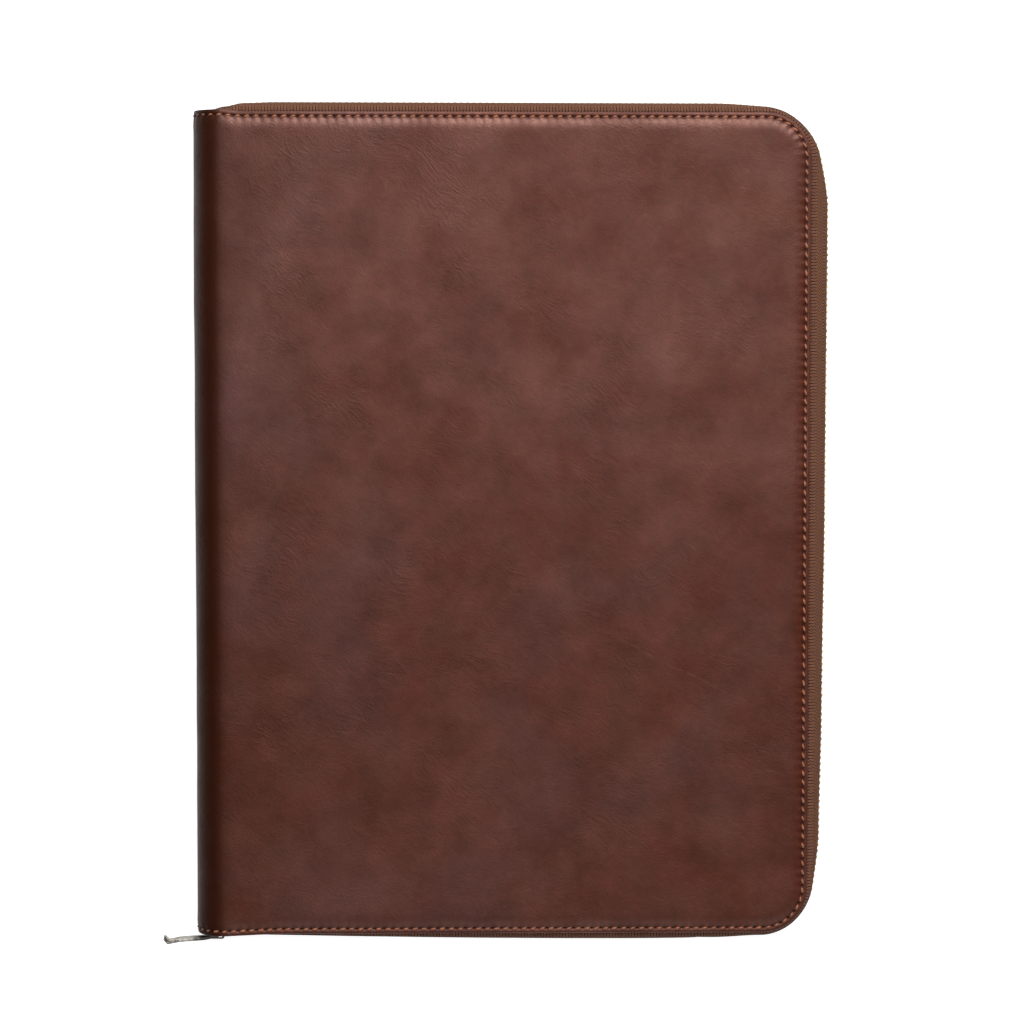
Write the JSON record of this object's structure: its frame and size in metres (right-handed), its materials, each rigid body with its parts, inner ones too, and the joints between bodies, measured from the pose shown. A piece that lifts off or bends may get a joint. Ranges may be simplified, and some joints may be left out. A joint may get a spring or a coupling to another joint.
{
  "type": "zip-around portfolio case",
  "caption": "Slim zip-around leather portfolio case for A4 papers, with padded covers, a soft rolled spine, pockets and a pen loop inside, and a slider with a long pull.",
  "frame": {"origin": "middle of the back cover's outer face, which the closed case lies on", "axes": "+X from the spine to the free edge, +Y to the top of the cover, +Z through the thickness to the front cover"},
  "size_m": [0.2849, 0.3609, 0.026],
  "materials": {
    "cover_leather": "waxed dark brown leather, satin, mottled",
    "pocket_leather": "dark brown leather, matt",
    "padding": "soft foam sheet",
    "board": "grey-brown bookbinding board",
    "lining": "brown twill",
    "zip_tape": "brown woven zip tape",
    "zip_brass": "polished brass",
    "zip_nickel": "antique nickel, rubbed"
  },
  "bodies": {
    "back_cover": {"back_leather": "cover_leather", "back_padding": "padding", "back_board": "board", "back_lining": "lining", "back_zip_tape": "zip_tape", "back_zip_teeth": "zip_brass", "back_zip_stop": "zip_brass", "pad_pocket": "pocket_leather", "pen_loop": "pocket_leather", "lower_zip_end_tab": "pocket_leather", "upper_zip_end_tab": "pocket_leather"},
    "spine_strip_lower": {"spine_leather_lower": "cover_leather", "spine_lining_lower": "lining"},
    "spine_strip_middle": {"spine_leather_middle": "cover_leather", "spine_lining_middle": "lining"},
    "spine_strip_upper": {"spine_leather_upper": "cover_leather", "spine_lining_upper": "lining"},
    "front_cover": {"front_leather": "cover_leather", "front_padding": "padding", "front_board": "board", "front_lining": "lining", "front_zip_tape": "zip_tape", "front_zip_teeth": "zip_brass", "front_zip_stop": "zip_brass", "document_pocket": "pocket_leather", "card_pocket_1": "pocket_leather", "card_pocket_2": "pocket_leather", "card_pocket_3": "pocket_leather"},
    "zip_slider": {"slider_body": "zip_nickel", "slider_bridge": "zip_nickel"},
    "zip_pull": {"pull_tab": "zip_nickel"}
  },
  "joints": [
    {"name": "spine_fold_1", "type": "hinge", "parent": "back_cover", "child": "spine_strip_lower", "pos_m": [-0.12298, 0, 0.00099], "axis": [0, -1, 0], "range_deg": [0, 45]},
    {"name": "spine_fold_2", "type": "hinge", "parent": "spine_strip_lower", "child": "spine_strip_middle", "pos_m": [-0.13001, 0, 0.00802], "axis": [0, -1, 0], "range_deg": [0, 45]},
    {"name": "spine_fold_3", "type": "hinge", "parent": "spine_strip_middle", "child": "spine_strip_upper", "pos_m": [-0.13001, 0, 0.01798], "axis": [0, -1, 0], "range_deg": [0, 45]},
    {"name": "spine_fold_4", "type": "hinge", "parent": "spine_strip_upper", "child": "front_cover", "pos_m": [-0.12298, 0, 0.02501], "axis": [0, -1, 0], "range_deg": [0, 45]},
    {"name": "zip_run", "type": "slide", "parent": "back_cover", "child": "zip_slider", "axis": [0.9999, -0.0152, 0], "range_m": [0, 0.214]},
    {"name": "pull_swing", "type": "hinge", "parent": "zip_slider", "child": "zip_pull", "pos_m": [-0.12255, -0.17781, 0.013], "axis": [0, 0, 1], "range_deg": [-4, 155]}
  ],
  "couplings": [
    {"joint": "spine_fold_2", "follows": "spine_fold_1", "ratio": 1},
    {"joint": "spine_fold_3", "follows": "spine_fold_1", "ratio": 1},
    {"joint": "spine_fold_4", "follows": "spine_fold_1", "ratio": 1}
  ]
}
